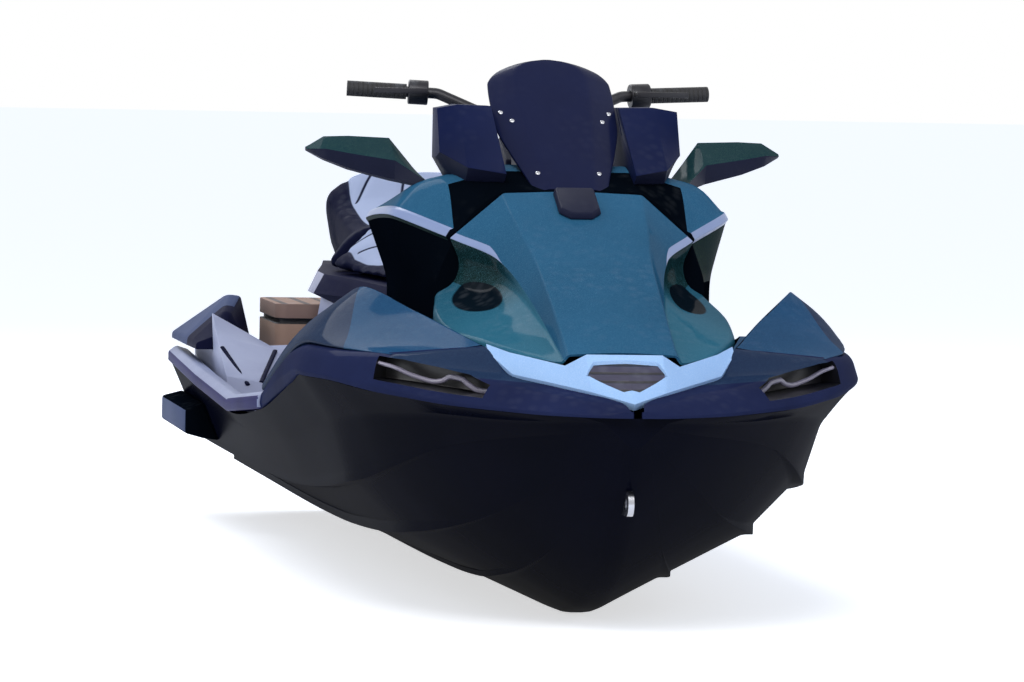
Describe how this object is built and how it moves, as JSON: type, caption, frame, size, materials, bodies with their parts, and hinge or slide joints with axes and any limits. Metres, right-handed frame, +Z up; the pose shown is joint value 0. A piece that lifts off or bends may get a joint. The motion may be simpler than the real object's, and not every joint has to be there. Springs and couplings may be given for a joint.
{
  "type": "personal watercraft",
  "caption": "Sit-down runabout watercraft with V hull, opening hood, handlebar, mirrors, stepped seats, rear deck and a steerable jet pump with reverse bucket.",
  "frame": {"origin": "middle of the craft's box, on the floor under the keel", "axes": "+X towards the bow, +Y to port, +Z up"},
  "size_m": [3.58, 1.195, 1.164],
  "materials": {
    "hull_black": "gloss gelcoat",
    "deck_grey": "satin moulded deck",
    "gunwale_grey": "satin cap over a dark rub rail",
    "bumper_graphite": "satin",
    "body_teal": "metallic clearcoat",
    "trim_silver": "pale metallic",
    "vent_dark": "satin",
    "lamp_clear": "clear lens over pale light tubes",
    "cockpit_dark": "fine grained",
    "visor_dark": "satin gloss",
    "screen": "gloss screen",
    "mirror_face": "polished",
    "bar_black": "black anodised",
    "grip_rubber": "ribbed",
    "seat_vinyl": "grained vinyl",
    "seat_base_grey": "gloss",
    "steel": "brushed",
    "pump_alloy": "cast and painted",
    "engine_iron": "cast",
    "mat_grey": "grooved foam",
    "mat_tan": "planked foam",
    "sponson_black": "satin",
    "bin_black": "moulded"
  },
  "bodies": {
    "craft": {"hull": "hull_black", "deck": "deck_grey", "footwell_ramps": "deck_grey", "engine_block": "engine_iron", "gunwales": "gunwale_grey", "bow_bumper": "bumper_graphite", "nose_trim": "trim_silver", "nose_vent": "vent_dark", "fenders": "body_teal", "hood_brackets": "bin_black", "storage_bin": "bin_black", "upper_cowl": "body_teal", "console": "cockpit_dark", "visor": "visor_dark", "dash": "cockpit_dark", "display": "screen", "front_pods": "cockpit_dark", "mirrors": "body_teal", "mirror_glass": "mirror_face", "glove_box": "bin_black", "seat_base": "seat_base_grey", "front_seat": "seat_vinyl", "rear_seat": "seat_vinyl", "grab_rail": "steel", "rear_pad": "mat_tan", "rear_arches": "cockpit_dark", "swim_platform": "deck_grey", "footwell_mats": "mat_grey", "sponsons": "sponson_black", "pump_housing": "pump_alloy", "reduction_nozzle": "pump_alloy", "ride_plate": "pump_alloy", "intake_grate": "pump_alloy", "bow_eye": "steel", "stern_eyes": "steel", "headlamps": "lamp_clear"},
    "hood": {"hood": "body_teal", "hood_latch": "cockpit_dark"},
    "glove_lid": {"glove_lid": "cockpit_dark"},
    "steering": {"handlebar": "bar_black", "grips": "grip_rubber", "switch_pods": "cockpit_dark", "levers": "bar_black"},
    "nozzle": {"steering_nozzle": "pump_alloy"},
    "bucket": {"reverse_bucket": "pump_alloy"},
    "impeller": {"impeller": "steel", "drive_shaft": "steel"}
  },
  "joints": [
    {"name": "hood_hinge", "type": "hinge", "parent": "craft", "child": "hood", "pos_m": [1.608, 0, 0.572], "axis": [0, 1, 0], "range_deg": [0, 60]},
    {"name": "glove_lid_hinge", "type": "hinge", "parent": "craft", "child": "glove_lid", "pos_m": [0.358, 0, 0.802], "axis": [0, 1, 0], "range_deg": [0, 80]},
    {"name": "steering_turn", "type": "hinge", "parent": "craft", "child": "steering", "pos_m": [0.43, 0, 0.985], "axis": [-0.5736, 0, 0.8192], "range_deg": [-35, 35]},
    {"name": "nozzle_turn", "type": "hinge", "parent": "craft", "child": "nozzle", "pos_m": [-1.515, 0, 0.17], "axis": [0, 0, 1], "range_deg": [-21, 21]},
    {"name": "bucket_turn", "type": "hinge", "parent": "nozzle", "child": "bucket", "pos_m": [-1.6, 0, 0.17], "axis": [0, -1, 0], "range_deg": [0, 60]},
    {"name": "impeller_spin", "type": "hinge", "parent": "craft", "child": "impeller", "pos_m": [-1.24, 0, 0.17], "axis": [1, 0, 0], "continuous": true}
  ],
  "couplings": [
    {"joint": "nozzle_turn", "follows": "steering_turn", "ratio": -0.6}
  ]
}
